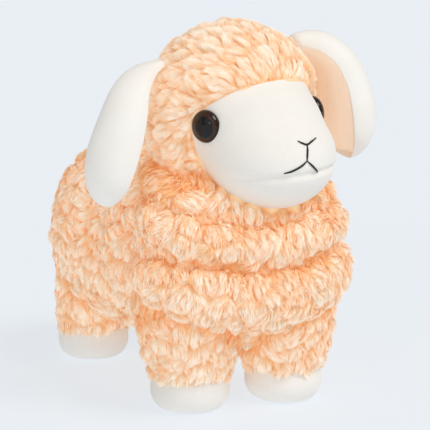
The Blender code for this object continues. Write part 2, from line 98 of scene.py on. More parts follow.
# How far ahead the pupil sits, as a share of the eye's radius
PUPIL_AHEAD = 0.36
EAR_RISE = math.radians(36)
EAR_SET_BACK = math.radians(-6)
EAR_ROOT_LIFT = 0.002
EAR_LENGTH = 0.121
EAR_WIDTH = 0.055
EAR_BULGE = 0.025
EAR_CUP = 0.005
EAR_TWIST_END_SHARE = 0.4
EAR_LEAF_SHARES = (
    (0.00, 0.50, 0.20),
    (0.10, 0.58, 0.38),
    (0.20, 0.68, 0.52),
    (0.32, 0.81, 0.67),
    (0.45, 0.92, 0.81),
    (0.60, 0.99, 0.94),
    (0.72, 1.00, 1.00),
    (0.84, 0.90, 0.87),
    (0.93, 0.70, 0.64),
    (0.98, 0.42, 0.38),
    (1.00, 0.14, 0.13),
)
EAR_POSES = {
    "left": EarPose(math.radians(3), math.radians(91), 0.063, math.radians(20), 0.018),
    "right": EarPose(math.radians(-12), math.radians(57), 0.051, math.radians(9), 0.006),
}
# How far the ear's front edge curls in towards the head
EAR_FRONT_CURL = 0.004
# As shares of the leaf's: how wide the ear's front and rear halves are, what the root adds to the rear, how
# full the back is, and what the root adds to that. Then how deep the root sinks into the pile, and how far
# back it starts.
EAR_SHAPES = {
    "left": EarShape(1.0, 1.08, 0.34, 1.04, 0.15, 0.0, 0.004),
    "right": EarShape(0.84, 0.86, 0.0, 0.90, 0.0, 0.004, 0.014),
}
EAR_STATIONS = (-0.02, 0.03, 0.1, 0.2, 0.3, 0.4, 0.5, 0.6, 0.7, 0.78, 0.85, 0.91, 0.955, 0.985, 1.0)
FEET = {
    "front_left": (0.0375, -0.102),
    "front_right": (-0.042, -0.092),
    "rear_left": (0.042, 0.092),
    "rear_right": (-0.042, 0.092),
}
SOLE_RADIUS = 0.0195
FOOT_HEIGHT = 0.030
FOOT_RADIUS = 0.0312
FOOT_WIDEST = 0.016
ANKLE_RADIUS = 0.026
LEG_TOP = 0.105
LEG_SKIRT = 0.005
LEG_BOTTOM = FOOT_HEIGHT - LEG_SKIRT
LEG_RADIUS = 0.033
LEG_SWELLS = {"front": 0.010, "rear": 0.001}
LEG_SWELL_SHARES = ((0.0, 0.0), (0.08, 0.25), (0.25, 0.6), (0.52, 1.0), (0.8, 0.8), (1.0, 0.2))
TAIL_RISE = math.radians(12)
TAIL_LEAN = math.radians(12)
TAIL_LENGTH = 0.042
TAIL_WIDTH = 0.028
TAIL_THICKNESS = 0.014
TAIL_ROOT_LIFT = 0.0015
TAIL_LOBE_SHARES = (
    (0.0, 0.45),
    (0.15, 0.70),
    (0.4, 0.97),
    (0.65, 1.0),
    (0.85, 0.80),
    (0.96, 0.45),
    (1.0, 0.18),
)

# Where the whole sheep stands: one sole's box says how far the source moved it to stand on its origin
low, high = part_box("front_right_foot_sole")
ROOT = Matrix.Translation(
    ((low.x + high.x) / 2 - FEET["front_right"][0], (low.y + high.y) / 2 - FEET["front_right"][1], 0)
)
HEAD_FRAME = (
    ROOT
    @ Matrix.Translation(HEAD_CENTRE)
    @ Matrix.Rotation(HEAD_TURN, 4, "Z")
    @ Matrix.Rotation(HEAD_TIP, 4, "Y")
)
EYE_FRAMES = {
    name: HEAD_FRAME
    @ Matrix.Translation(EYE_SEATS[name])
    @ (Vector(EYE_FACING) * Vector((side, 1, 1))).to_track_quat("Z", "Y").to_matrix().to_4x4()
    for name, side in SIDES.items()
}
OWN_MAP = "OFBake"
# How far the hollows of the underfur lie below the part's soft solids
BODY_INSET = 0.0092
HEAD_INSET = 0.0070
LEG_INSET = 0.0062
CREASE_WIDTH = 0.0028
RUMP_RISE = 0.0052
SNOUT_FROM_CENTRE = Form((0, 0, 0), SNOUT.lumps, SNOUT.blend)

BODY_LOOK = Pile(0.0095, 0.0180, 0.0060, 0.0042, 0.00062, 0.0034, 0.50)
HEAD_LOOK = Pile(0.0120, 0.0210, 0.0024, 0.0044, 0.00062, 0.0038, 0.28)
LEG_LOOK = Pile(0.0085, 0.0155, 0.0045, 0.0040, 0.00062, 0.0028, 0.50)
TAIL_LOOK = Pile(0.0075, 0.0140, 0.0012, 0.0040, 0.00070, 0.0022, 0.30)
TONES_AND_PAINTED_SHADE = TonesAndPaintedShade(0.18, 0.60, 0.68, 0.24)
# Painted glow: pile, its underfur and the ear's plush emit light as a share of their colour, in place of
# light that passes through them
PILE_PAINTED_GLOW = 0.20
LINING_PAINTED_GLOW = 0.18
# The waves that bend the borders of tufts, how long they are and how far they bend, in tuft spacings
WAVES = 9
WAVE_LENGTH = 2.5
WAVE_BEND = 0.09
# No two tufts or locks are alike. Lengths and rises are shares, and swings are in radians.
TUFT_SIZES = (0.82, 1.22)
TUFT_LENGTHS = (0.88, 1.12)
TUFT_TONES = (-0.12, 0.12)
LOCK_SWING = 0.28
LOCK_LENGTHS = (0.80, 1.20)
LOCK_RISES = (0.75, 1.25)
LOCK_TONE = 0.08
STRAND_SWING = 0.11
STRAND_LENGTHS = (0.85, 1.1)
STRAND_TONE = 0.07
TIP_SCATTER = 0.00035
RIBBON_TURN = 0.6
# How much longer than wide a lock is, how much it points away from its tuft's crown, how much of a tip's way
# down to the skin below it is gone, and how far tips gather to their lock's
LOCK_STRETCH = 2.0
CROWN_PART = 0.9
TIP_LAID = 0.62
TIP_GATHER = 0.28
# Where along a strand its ribbon has a pair of points, and how wide it is there
RINGS = ((0.0, 0.85), (0.55, 1.0))
# How deep roots may stand in a neighbouring skin
OVERLAP = 0.002
# The bare face's edge as the pile's roots see it, by the share that face_share gives, and how far from it the
# head's skin is back at its own height
RIM = 1.09
RIM_SLOPE = 0.30
# How far from the head's centre its skin, and the edge of the face's cloth, lie out of sight
SKIN_BED = 0.045
CLOTH_BED = 0.0555
THREAD_RADIUS = 0.0008
FLOOR_SHADE = (0.83, 0.88, 0.93)
# The camera's focal length and half the picture's width, both in the photograph's pixels
FOCAL_PIXELS = 1428.57
HALF_PICTURE = 215
CAMERA_BACK = (-0.4784, -0.8631, 0.1616)
CAMERA_DISTANCE = 1.2
CAMERA_TARGET = (0.02296, -0.01528, 0.1367)


class Socket:
    """A shader socket that takes part in Python expressions."""

    def __init__(self, nodes, socket):
        self.nodes = nodes
        self.socket = socket

    def __add__(self, other):
        return self.nodes.maths("ADD", self, other)

    def __sub__(self, other):
        return self.nodes.maths("SUBTRACT", self, other)

    def __rsub__(self, other):
        return self.nodes.maths("SUBTRACT", other, self)

    def __mul__(self, other):
        return self.nodes.maths("MULTIPLY", self, other)

    __radd__ = __add__
    __rmul__ = __mul__


class Nodes:
    """A material's nodes, and its Principled shader."""

    def __init__(self, name, **shader):
        self.material = bpy.data.materials.new(name)
        self.material.use_nodes = True
        self.tree = self.material.node_tree
        self.shader = self.tree.nodes["Principled BSDF"]
        self.feed(self.shader, {key.replace("_", " "): value for key, value in shader.items()})

    def feed(self, node, values):
        for key, value in values.items():
            socket = node.inputs[key]
            if isinstance(value, Socket):
                self.tree.links.new(value.socket, socket)
            elif socket.type == "RGBA" and len(value) == 3:
                socket.default_value = (*value, 1)
            else:
                socket.default_value = value

    def add(self, kind, values, output=0, **settings):
        """A node of that kind, its settings first and then its sockets, and one of its outputs."""
        node = self.tree.nodes.new(kind)
        for key, value in settings.items():
            setattr(node, key, value)
        self.feed(node, values)
        return Socket(self, node.outputs[output])

    def maths(self, operation, *values):
        return self.add("ShaderNodeMath", dict(enumerate(values)), operation=operation)

    def ramp(self, value, low, high):
        """From 0 at low to 1 at high, eased."""
        values = {"Value": value, "From Min": low, "From Max": high}
        return self.add("ShaderNodeMapRange", values, interpolation_type="SMOOTHSTEP")

    def mix(self, share, first, second):
        return self.add("ShaderNodeMix", {0: share, 6: first, 7: second}, 2, data_type="RGBA")

    def noise(self, vector, scale, detail=2.0):
        return self.add("ShaderNodeTexNoise", {"Vector": vector, "Scale": scale, "Detail": detail})

    def places(self):
        return self.add("ShaderNodeTexCoord", {}, "Object")

    def own_map(self):
        """The two coordinates of the piece's own map."""
        whole = self.add("ShaderNodeUVMap", {}, uv_map=OWN_MAP)
        first = self.add("ShaderNodeSeparateXYZ", {0: whole})
        return first, Socket(self, first.socket.node.outputs[1])

    def vector(self, x, y):
        return self.add("ShaderNodeCombineXYZ", {"X": x, "Y": y})

    def bump(self, height, strength, distance):
        values = {"Height": height, "Strength": strength, "Distance": distance}
        self.feed(self.shader, {"Normal": self.add("ShaderNodeBump", values)})

    def paint(self, colour, painted_glow=0.0):
        """The colour, and a painted glow that the surface emits as a share of it."""
        self.feed(self.shader, {"Base Color": colour})
        if painted_glow:
            self.feed(self.shader, {"Emission Color": colour, "Emission Strength": painted_glow})


def pile_material():
    """Pile: its map holds a strand's tone with painted shade, from cream to orange, and the place along it
    from root to tip.
    """
    made = Nodes(
        "long_pile", Roughness=0.85, Sheen_Weight=0.15, Sheen_Roughness=0.5, Specular_IOR_Level=0.1
    )
    tone, along = made.own_map()
    # Deeper orange at the root than at the tip: partly the pile's own colour, partly painted shade where gaps
    # between locks show the roots
    root = made.mix(tone, (0.95, 0.77, 0.54), (0.90, 0.45, 0.17))
    tip = made.mix(made.maths("POWER", tone, 1.4), (0.96, 0.91, 0.82), (0.93, 0.61, 0.34))
    colour = made.mix(made.ramp(along, 0.1, 0.8), root, tip)
    # Painted glow: the pile emits light as a share of its colour
    made.paint(colour, PILE_PAINTED_GLOW)
    return made.material


def backing_material():
    """The dense underfur that the pile lies on: its map holds how far each place is in a hollow, where it is
    painted a deeper orange as shade.
    """
    made = Nodes("underfur", Roughness=0.95, Specular_IOR_Level=0.1)
    places = made.places()
    hollow, _ = made.own_map()
    # Painted shade: the underfur is deeper orange in hollows and creases, with random patches over it
    patches = made.noise(places, 260.0, 3.0) * 0.4 - 0.2 + hollow
    colour = made.mix(made.ramp(patches, 0.0, 1.0), (0.95, 0.68, 0.42), (0.87, 0.43, 0.16))
    # Painted glow: the underfur emits light as a share of its colour
    made.paint(colour, PILE_PAINTED_GLOW)
    made.bump(made.noise(places, 900.0), 0.3, 0.0006)
    return made.material


def nap_material(name, colour, shade, fibre=1500.0, depth=0.0002, sheen=0.3):
    """Short brushed cloth: a fine nap, faint mottling and a soft sheen."""
    made = Nodes(name, Roughness=0.8, Sheen_Weight=sheen, Sheen_Roughness=0.4, Specular_IOR_Level=0.15)
    places = made.places()
    mottle = made.noise(places, 45.0, 3.0) * 0.6 + made.noise(places, 420.0, 2.0) * 0.4
    made.paint(made.mix(made.ramp(mottle, 0.35, 0.7), colour, shade))
    made.bump(made.noise(places, fibre, 3.0) + made.noise(places, fibre / 5, 2.0) * 0.7, 0.4, depth)
    return made.material


def lining_material():
    """Short peach plush brushed along the ear: streaks from root to tip on the piece's own map."""
    made = Nodes(
        "lining_plush", Roughness=0.85, Sheen_Weight=0.4, Sheen_Roughness=0.4, Specular_IOR_Level=0.15
    )
    along, across = made.own_map()
    streaks = made.noise(made.vector(along * 6.0, across * 60.0), 1.0, 3.0)
    broad = made.noise(made.vector(along * 2.0, across * 9.0), 1.0, 2.0)
    tone = made.ramp(streaks * 0.5 + broad * 0.5, 0.35, 0.65)
    peach = made.mix(tone, (0.84, 0.57, 0.37), (0.89, 0.70, 0.53))
    inner = made.ramp(across + streaks * 0.10, 0.50, 0.96) * (1 - made.ramp(along, 0.60, 0.95) * 0.6)
    colour = made.mix(inner, (0.95, 0.90, 0.82), peach)
    # Painted glow: the plush emits light as a share of its colour, lifting it where the ear shades it
    made.paint(colour, LINING_PAINTED_GLOW)
    made.bump(streaks, 0.5, 0.0006)
    return made.material


def eye_material():
    """A glossy domed eye, by its map's radius: black pupil, dark brown iris with faint rays, black rim."""
    made = Nodes("eye_gloss", Roughness=0.05, Specular_IOR_Level=0.35)
    out, turn = made.own_map()
    rays = made.noise(made.vector(turn * 40.0, out * 3.0), 1.0, 2.0)
    iris = made.mix(rays, (0.030, 0.011, 0.005), (0.065, 0.026, 0.012))
    iris = made.mix(made.ramp(out, 0.80, 0.97), iris, (0.012, 0.006, 0.004))
    made.paint(made.mix(made.ramp(out, 0.62, 0.72), (0.004, 0.004, 0.005), iris))
    return made.material


def speckled_material(name, colour, other, roughness, scale):
    made = Nodes(name, Roughness=roughness)
    places = made.places()
    grain = made.noise(places, scale)
    made.paint(made.mix(grain, colour, other))
    made.bump(grain, 0.3, 0.0002)
    return made.material


def lump_distances(form, rays):
    """How far each unit ray runs from the form's core to the outside of each of its lumps."""
    distances = []
    for lump in form.lumps:
        turn = np.array(Matrix.Rotation(lump.lean, 3, "X"))
        start = (np.array(form.core) - lump.centre) @ turn / lump.reach
        step = rays @ turn / lump.reach
        square = (step * step).sum(axis=1)
        half = step @ start
        inside = half * half - square * (start @ start - 1)
        distances.append(np.where(inside > 0, (np.sqrt(np.maximum(inside, 0)) - half) / square, 0))
    return np.array(distances)


def distances_out(form, rays):
    """How far each unit ray runs from the form's core to its outside, as in the part's source."""
    distances = lump_distances(form, rays) / form.blend
    largest = distances.max(axis=0)
    return form.blend * (largest + np.log(np.exp(distances - largest).sum(axis=0)))


def moved(points, matrix):
    matrix = np.array(matrix)
    return points @ matrix[:3, :3].T + matrix[:3, 3]


def unit(vectors):
    return vectors / np.maximum(np.linalg.norm(vectors, axis=-1, keepdims=True), 1e-12)


def ease(values, low, high):
    share = np.clip((values - low) / (high - low), 0, 1)
    return share * share * (3 - 2 * share)


def depth_inside(form, points, matrix, inset):
    """How deep each point lies inside the form's skin moved in by inset, along the ray from its core."""
    local = moved(points, matrix.inverted()) - form.core
    reach = np.linalg.norm(local, axis=1)
    return distances_out(form, local / np.maximum(reach, 1e-9)[:, None]) - inset - reach


def face_share(points):
    """Where each point lies, seen from the head's centre: 0 in the bare face's middle, 1 on its edge."""
    local = unit(moved(points, HEAD_FRAME.inverted()))
    aside = np.arctan2(local[:, 0], -local[:, 1]) / FACE_ASIDE
    rise = np.arcsin(np.clip(local[:, 2], -1, 1)) - FACE_LEVEL
    rise = rise / np.where(rise > 0, FACE_UP, FACE_DOWN)
    return np.hypot(aside, rise)


def finish_piece(obj, body, material, replaced=()):
    obj.data.materials.clear()
    obj.data.materials.append(material)
    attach(obj, body)
    if replaced:
        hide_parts(*replaced)


def placed(name, mesh):
    made = bpy.data.objects.new(name, mesh)
    bpy.context.collection.objects.link(made)
    return made


def from_shape(name, shape):
    """An object from a bmesh, which it frees."""
    bmesh.ops.recalc_face_normals(shape, faces=shape.faces)
    mesh = bpy.data.meshes.new(name)
    shape.to_mesh(mesh)
    shape.free()
    mesh.shade_smooth()
    return placed(name, mesh)


def tube(name, rings):
    """A skin through rings of places, closed at both ends."""
    shape = bmesh.new()
    rings = [[shape.verts.new(place) for place in ring] for ring in rings]
    size = len(rings[0])
    for first, second in zip(rings, rings[1:]):
        for step in range(size):
            after = (step + 1) % size
            shape.faces.new((first[step], first[after], second[after], second[step]))
    shape.faces.new(rings[0])
    shape.faces.new(rings[-1])
    return from_shape(name, shape)


def select_only(obj):
    bpy.ops.object.select_all(action="DESELECT")
    obj.select_set(True)
    bpy.context.view_layer.objects.active = obj


def write_map(mesh, across, along):
    """The piece's own map, in place of any other, from two values at each of its points."""
    for old in list(mesh.uv_layers):
        mesh.uv_layers.remove(old)
    corners = read(mesh.loops, "vertex_index", 1, np.int32)[:, 0]
    layer = mesh.uv_layers.new(name=OWN_MAP)
    layer.data.foreach_set("uv", np.column_stack([across, along])[corners].ravel().astype(np.float32))


def ball(name, cells):
    """A cube of square cells, ready to be blown up, and the unit ray of each of its points."""
    bpy.ops.object.select_all(action="DESELECT")
    bpy.ops.mesh.primitive_cube_add(size=2)
    made = bpy.context.object
    made.name = made.data.name = name
    bpy.ops.object.mode_set(mode="EDIT")
    bpy.ops.mesh.subdivide(number_cuts=cells - 1)
    bpy.ops.object.mode_set(mode="OBJECT")
    return made, unit(np.tan(points_of(made) * math.pi / 4))


def read(items, field, width, kind=float):
    """A field of a mesh's points, edges or corners, as rows."""
    values = np.empty(len(items) * width, kind)
    items.foreach_get(field, values)
    return values.reshape(-1, width)


def points_of(obj):
    return read(obj.data.vertices, "co", 3)


def normals_of(obj):
    return read(obj.data.vertices, "normal", 3)


def edges_of(obj):
    return read(obj.data.edges, "vertices", 2, np.int64)


def place_points(obj, places):
    obj.data.vertices.foreach_set("co", places.ravel())
    obj.data.update()
    obj.data.shade_smooth()


def blurred(values, ends, rounds):
    """Values at points, averaged over their edges a number of times."""
    count = np.maximum(np.bincount(ends.ravel(), minlength=len(values)), 1)
    for _ in range(rounds):
        total = np.zeros_like(values)
        np.add.at(total, ends[:, 0], values[ends[:, 1]])
        np.add.at(total, ends[:, 1], values[ends[:, 0]])
        mean = total / (count if values.ndim == 1 else count[:, None])
        values = (values + mean) / 2
    return values


def creases_between(form, rays):
    """How strongly each ray meets the crease between two of the form's lumps, 0 to 1."""
    if len(form.lumps) < 2:
        return np.zeros(len(rays))
    longest = np.sort(lump_distances(form, rays), axis=0)
    return np.exp(-(((longest[-1] - longest[-2]) / CREASE_WIDTH) ** 2))


def skin_ball(name, form, matrix, cells, inset, deepen):
    """The form's skin under its pile, with its creases deepened, and the crease of each point."""
    made, rays = ball(name, cells)
    places = np.array(form.core) + rays * (distances_out(form, rays) - inset)[:, None]
    place_points(made, moved(places, matrix))
    creases = blurred(creases_between(form, rays), edges_of(made), rounds=4)
    place_points(made, points_of(made) - normals_of(made) * (creases * deepen)[:, None])
    return Patch(made, creases, None)


def bare_patch(obj):
    """A skin with no creases of its own."""
    return Patch(obj, np.zeros(len(obj.data.vertices)), None)


def order_faces(shape):
    """Puts the faces in the order of their points, because merged faces come in another at each run."""
    shape.verts.index_update()
    count = len(shape.verts)

    def place(face):
        first, second, third = sorted(point.index for point in face.verts)[:3]
        return (first * count + second) * count + third

    shape.faces.sort(key=place)


def turned(name, profile, sides, matrix):
    """A profile of (radius, height) spun about Z, closed at its poles."""
    shape = bmesh.new()
    points = [shape.verts.new((radius, 0, height)) for radius, height in profile]
    for first, second in zip(points, points[1:]):
        shape.edges.new((first, second))
    whole = shape.verts[:] + shape.edges[:]
    bmesh.ops.spin(shape, geom=whole, axis=(0, 0, 1), cent=(0, 0, 0), steps=sides, angle=2 * math.pi)
    bmesh.ops.remove_doubles(shape, verts=shape.verts, dist=1e-6)
    order_faces(shape)
    bmesh.ops.transform(shape, matrix=matrix, verts=shape.verts)
    return from_shape(name, shape)


def round_arc(start, end, bulge_first, steps):
    """A quarter of an ellipse between two (radius, height). It leaves the first sideways or upright."""
    points = []
    for step in range(steps + 1):
        angle = math.pi / 2 * step / steps
        fast, slow = math.sin(angle), 1 - math.cos(angle)
        across, up = (fast, slow) if bulge_first else (slow, fast)
        points.append((start[0] + (end[0] - start[0]) * across, start[1] + (end[1] - start[1]) * up))
    return points


def leg_radius(name, share):
    """How far a leg's underfur is from its axis, at a share of its height."""
    places, shares = zip(*LEG_SWELL_SHARES)
    return LEG_RADIUS - LEG_INSET + LEG_SWELLS[name.split("_")[0]] * np.interp(share, places, shares)


def foot_frame(name):
    x, y = FEET[name]
    return ROOT @ Matrix.Translation((x, y, 0))


def from_leg(name, places):
    """Each place in the leg's own frame, and how far out of its underfur it lies."""
    local = moved(places, foot_frame(name).inverted())
    share = np.clip((local[:, 2] - LEG_BOTTOM) / (LEG_TOP - LEG_BOTTOM), 0, 1)
    return local, np.hypot(local[:, 0], local[:, 1]) - leg_radius(name, share)


def leg_skin(name):
    """A leg's tube under its pile, closed at its top inside the body."""
    lip, crown, rings, sides = 0.002, 0.004, 52, 128
    profile = [(0, LEG_BOTTOM), (ANKLE_RADIUS - 0.006, LEG_BOTTOM)]
    for share in np.linspace(0, 1, rings):
        height = LEG_BOTTOM + lip + (LEG_TOP - LEG_BOTTOM - lip) * share
        profile.append((float(leg_radius(name, share)), height))
    profile.append((0, LEG_TOP + crown))
    return bare_patch(turned(name + "_leg_skin", profile, sides, foot_frame(name)))


def head_skin():
    """The head's skin. It comes down to the snout's cloth at the bare face's rim, and drops below it."""
    patch = skin_ball("head_skin", HEAD, HEAD_FRAME, cells=84, inset=HEAD_INSET, deepen=0)
    places = points_of(patch.obj)
    centre = np.array(HEAD_FRAME.translation)
    out = places - centre
    reach = np.linalg.norm(out, axis=1)
    share = face_share(places)
    snout = distances_out(SNOUT_FROM_CENTRE, unit(out @ np.array(HEAD_FRAME.to_3x3())))
    low = np.minimum(snout - 0.001, reach)
    reach_now = low + (reach - low) * ease(share, RIM, RIM + RIM_SLOPE)
    sunk = SKIN_BED + (reach_now - SKIN_BED) * ease(share, RIM - 0.08, RIM)
    place_points(patch.obj, centre + out / reach[:, None] * np.minimum(reach_now, sunk)[:, None])
    return patch


def tail_skin():
    """The tail's flat lobe under its pile."""
    ray = np.array([[0, math.cos(TAIL_RISE), math.sin(TAIL_RISE)]])
    point = np.array(BODY.core) + ray[0] * (distances_out(BODY, ray)[0] + TAIL_ROOT_LIFT)
    matrix = ROOT @ Matrix.Translation(point)
    along = Vector((0, math.sin(TAIL_LEAN), -math.cos(TAIL_LEAN)))
    out = Vector((0, math.cos(TAIL_LEAN), math.sin(TAIL_LEAN)))
    places, shares = zip(*TAIL_LOBE_SHARES)
    sides = 24
    turns = [2 * math.pi * step / sides for step in range(sides)]
    rings = []
    for share in np.linspace(0.02, 0.94, 16):
        lobe = np.interp(share, places, shares)
        width = max(lobe * TAIL_WIDTH / 2 - 0.005, 0.002)
        depth = max(lobe * TAIL_THICKNESS / 2 - 0.003, 0.0015)
        centre = along * share * TAIL_LENGTH
        ring = []
        for turn in turns:
            place = centre + Vector((width * math.cos(turn), 0, 0)) + out * depth * math.sin(turn)
            ring.append(matrix @ place)
        rings.append(ring)
    return bare_patch(tube("tail_skin", rings))


def roots_on(patch, count):
    """Points spread evenly by area over a skin, with the normal and crease there, and the skin's area."""
    mesh = patch.obj.data
    mesh.calc_loop_triangles()
    corners = read(mesh.loop_triangles, "vertices", 3, np.int32)
    places = points_of(patch.obj)
    normals = normals_of(patch.obj)
    first, second, third = (places[corners[:, k]] for k in range(3))
    areas = np.linalg.norm(np.cross(second - first, third - first), axis=1)
    total = np.cumsum(areas)
    chosen = np.searchsorted(total, (np.arange(count) + rng.random(count)) / count * total[-1])
    chosen = np.minimum(chosen, len(corners) - 1)
    share = rng.random((count, 2))
    over = share.sum(axis=1) > 1
    share[over] = 1 - share[over]
    weights = np.column_stack([1 - share.sum(axis=1), share])
    picked = corners[chosen]
    spots = (places[picked] * weights[:, :, None]).sum(axis=1)
    ups = unit((normals[picked] * weights[:, :, None]).sum(axis=1))
    crease = (patch.creases[picked] * weights).sum(axis=1)
    order = rng.permutation(count)
    return spots[order], ups[order], crease[order], total[-1] / 2


def spread_sites(spots, spacing):
    """Some of the points, no two nearer than most of the spacing."""
    nearest_allowed = 0.72 * spacing
    kept = np.empty((0, 3))
    for spot in spots:
        if len(kept) == 0 or ((kept - spot) ** 2).sum(axis=1).min() > nearest_allowed**2:
            kept = np.vstack([kept, spot])
    return kept


def nearest(sites, spots, count):
    """The nearest sites of each point, nearest first, and how far each is."""
    tree = KDTree(len(sites))
    for index, site in enumerate(sites):
        tree.insert(site, index)
    tree.balance()
    found = [[(index, distance) for _, index, distance in tree.find_n(spot, count)] for spot in spots]
    found = np.array(found)
    return found[:, :, 0].astype(np.int64), found[:, :, 1]


def sorted_pairs(indices, distances):
    """Rows of indices and their distances, the least distance first."""
    order = np.argsort(distances, axis=1)
    return np.take_along_axis(indices, order, axis=1), np.take_along_axis(distances, order, axis=1)


def crown_share(tufts, spots):
    """The tuft that each point belongs to, and its share of the way from the hollow round it to its crown."""
    directions, phases = tufts.waves
    warp = np.sin(spots @ directions.T + phases).reshape(len(spots), 3, -1).sum(axis=2)
    spots = spots + warp * (WAVE_BEND * tufts.spacing)
    indices, distances = nearest(tufts.places, spots, 3)
    indices, distances = sorted_pairs(indices, distances * tufts.sizes[indices])
    share = np.clip((distances[:, 1] - distances[:, 0]) / (0.85 * tufts.spacing), 0, 1)
    return indices[:, 0], 1 - (1 - share) ** 2


def legs_near(places, reach):
    """How near each point is to a leg's underfur, 1 on it and 0 from the reach on."""
    near = np.zeros(len(places))
    for name in FEET:
        near = np.maximum(near, 1 - ease(from_leg(name, places)[1], 0.0, reach))
    return near * ease(places[:, 2], FOOT_HEIGHT, FOOT_HEIGHT + 0.01)


def skin_near(obj, form, matrix, inset, reach, touch):
    """How near each point of an object is to a form's underfur: 0 from the reach on, and 1 at a touch."""
    return ease(depth_inside(form, points_of(obj), matrix, inset), -reach, -touch)


def meeting(patch, near):
    """The skin marked for painted shade also where it comes near other skins, as in its creases."""
    return Patch(patch.obj, np.maximum(patch.creases, near), patch.tufts)


def fuller_rump(patch):
    """The pile stands a little higher on the back of the body."""
    places = points_of(patch.obj)
    local = places - np.array(ROOT.translation)
    share = ease(local[:, 1], 0.0, 0.06) * ease(normals_of(patch.obj)[:, 2], 0.0, 0.6)
    place_points(patch.obj, places + np.array([[0, 0, RUMP_RISE]]) * share[:, None])
    return patch


def tufted(patch, look):
    """The skin swollen into rounded tufts, with a map of how far each place is in a hollow or crease, for
    painted shade.
    """
    obj = patch.obj
    places = spread_sites(roots_on(patch, 6000)[0], look.tuft)
    ways = unit(rng.normal(size=(WAVES, 3)))
    directions = ways * rng.uniform(0.8, 1.6, (WAVES, 1)) * 2 * math.pi / (WAVE_LENGTH * look.tuft)
    sizes = rng.uniform(*TUFT_SIZES, len(places))
    tufts = Tufts(places, sizes, look.tuft, (directions, rng.uniform(0, 6.28, WAVES)))
    crown = crown_share(tufts, points_of(obj))[1]
    place_points(obj, points_of(obj) + normals_of(obj) * (look.swell * crown)[:, None])
    # How far each place is in a hollow or crease, which the underfur and pile paint as shade
    hollow = np.clip(0.75 * (1 - crown) ** 1.5 + 0.8 * patch.creases, 0, 1)
    write_map(obj.data, hollow, crown)
    return Patch(obj, patch.creases, tufts)


def across_of(ups, directions):
    """Each direction without its part along the surface normal, as a unit vector."""
    return unit(directions - ups * (directions * ups).sum(axis=1, keepdims=True))


def swung(ups, directions, angles):
    """Directions in the surface, turned about its normal."""
    return directions * np.cos(angles)[:, None] + np.cross(ups, directions) * np.sin(angles)[:, None]


def tree_of(*objects):
    places, faces = [], []
    for obj in objects:
        start = len(places)
        places += [point.co.copy() for point in obj.data.vertices]
        faces += [[start + index for index in face.vertices] for face in obj.data.polygons]
    return BVHTree.FromPolygons(places, faces)


def strands(patch, spots, ups, creases, area, flow, look, shorter):
    """Each strand's middle and tip, its normal and its tone with painted shade. Strands lie in locks, and
    locks in tufts.

    Flow gives the direction the pile is brushed at each root, and shorter the share of its length kept there.
    """
    count = len(spots)
    mine, crown = crown_share(patch.tufts, spots)
    sites = len(patch.tufts.places)
    site_swing = rng.normal(0, look.swing, sites)
    site_length = rng.uniform(*TUFT_LENGTHS, sites)
    site_tone = rng.uniform(*TUFT_TONES, sites)
    # The first roots are the middles of the locks
    locks = min(max(int(area / look.lock**2), 8), count)
    lock_spots, lock_ups, lock_mine = spots[:locks], ups[:locks], mine[:locks]
    ways = swung(lock_ups, across_of(lock_ups, flow(lock_spots, lock_ups)), site_swing[lock_mine])
    radial = lock_spots - patch.tufts.places[lock_mine]
    radial = (radial - lock_ups * (radial * lock_ups).sum(axis=1, keepdims=True)) / look.tuft
    ways = across_of(lock_ups, ways + radial * CROWN_PART)
    ways = swung(lock_ups, ways, rng.normal(0, LOCK_SWING, locks))
    lock_length = rng.uniform(*LOCK_LENGTHS, locks)
    lock_rise = rng.uniform(*LOCK_RISES, locks)
    lock_tone = rng.normal(0, LOCK_TONE, locks)
    found = nearest(lock_spots, spots, 5)[0]
    offset = spots[:, None, :] - lock_spots[found]
    along = (offset * ways[found]).sum(axis=2)
    aside = np.sqrt(np.maximum((offset**2).sum(axis=2) - along**2, 0))
    found, distances = sorted_pairs(found, np.hypot(along / LOCK_STRETCH, aside))
    near = found[:, 0]
    heart = ease((distances[:, 1] - distances[:, 0]) / look.lock, 0.0, 0.55)

    way = across_of(ups, ways[near] + rng.normal(0, STRAND_SWING, (count, 3)))
    size = look.length * site_length[mine] * lock_length[near] * rng.uniform(*STRAND_LENGTHS, count)
    size = (size * (0.80 + 0.20 * crown) * shorter(spots))[:, None]
    rise = (look.lift * lock_rise[near] * (0.72 + 0.28 * heart) * shorter(spots))[:, None]
    straight = spots + way * size
    tree = tree_of(patch.obj)
    hits = [tree.find_nearest(place) for place in straight]
    ground = np.array([hit[0] for hit in hits])
    ground_ups = np.array([hit[1] for hit in hits])
    tip = ground * TIP_LAID + straight * (1 - TIP_LAID) + unit(ground_ups + ups) * rise
    tip = tip + (tip[near] - tip) * TIP_GATHER
    tip += rng.normal(0, TIP_SCATTER, (count, 3))
    middle = spots + way * size * 0.42 + ups * rise * 1.25
    tone = TONES_AND_PAINTED_SHADE.crown + site_tone[mine] + lock_tone[near]
    # Painted shade: pile is more orange in hollows between tufts, in creases and where skins meet, and at the
    # edges of locks
    tone = tone + TONES_AND_PAINTED_SHADE.hollow * (1 - crown) ** 1.4 + TONES_AND_PAINTED_SHADE.crease * creases
    tone = tone + TONES_AND_PAINTED_SHADE.lock_edge * (1 - heart) + rng.normal(0, STRAND_TONE, count)
    side = spots - lock_spots[near]
    side = (side - way * (side * way).sum(axis=1, keepdims=True)) / look.lock
    outward = unit(ups + ground_ups * 0.8 + side * 0.5 + way * 0.10)
    return middle, tip, outward, np.clip(tone, 0, 1)


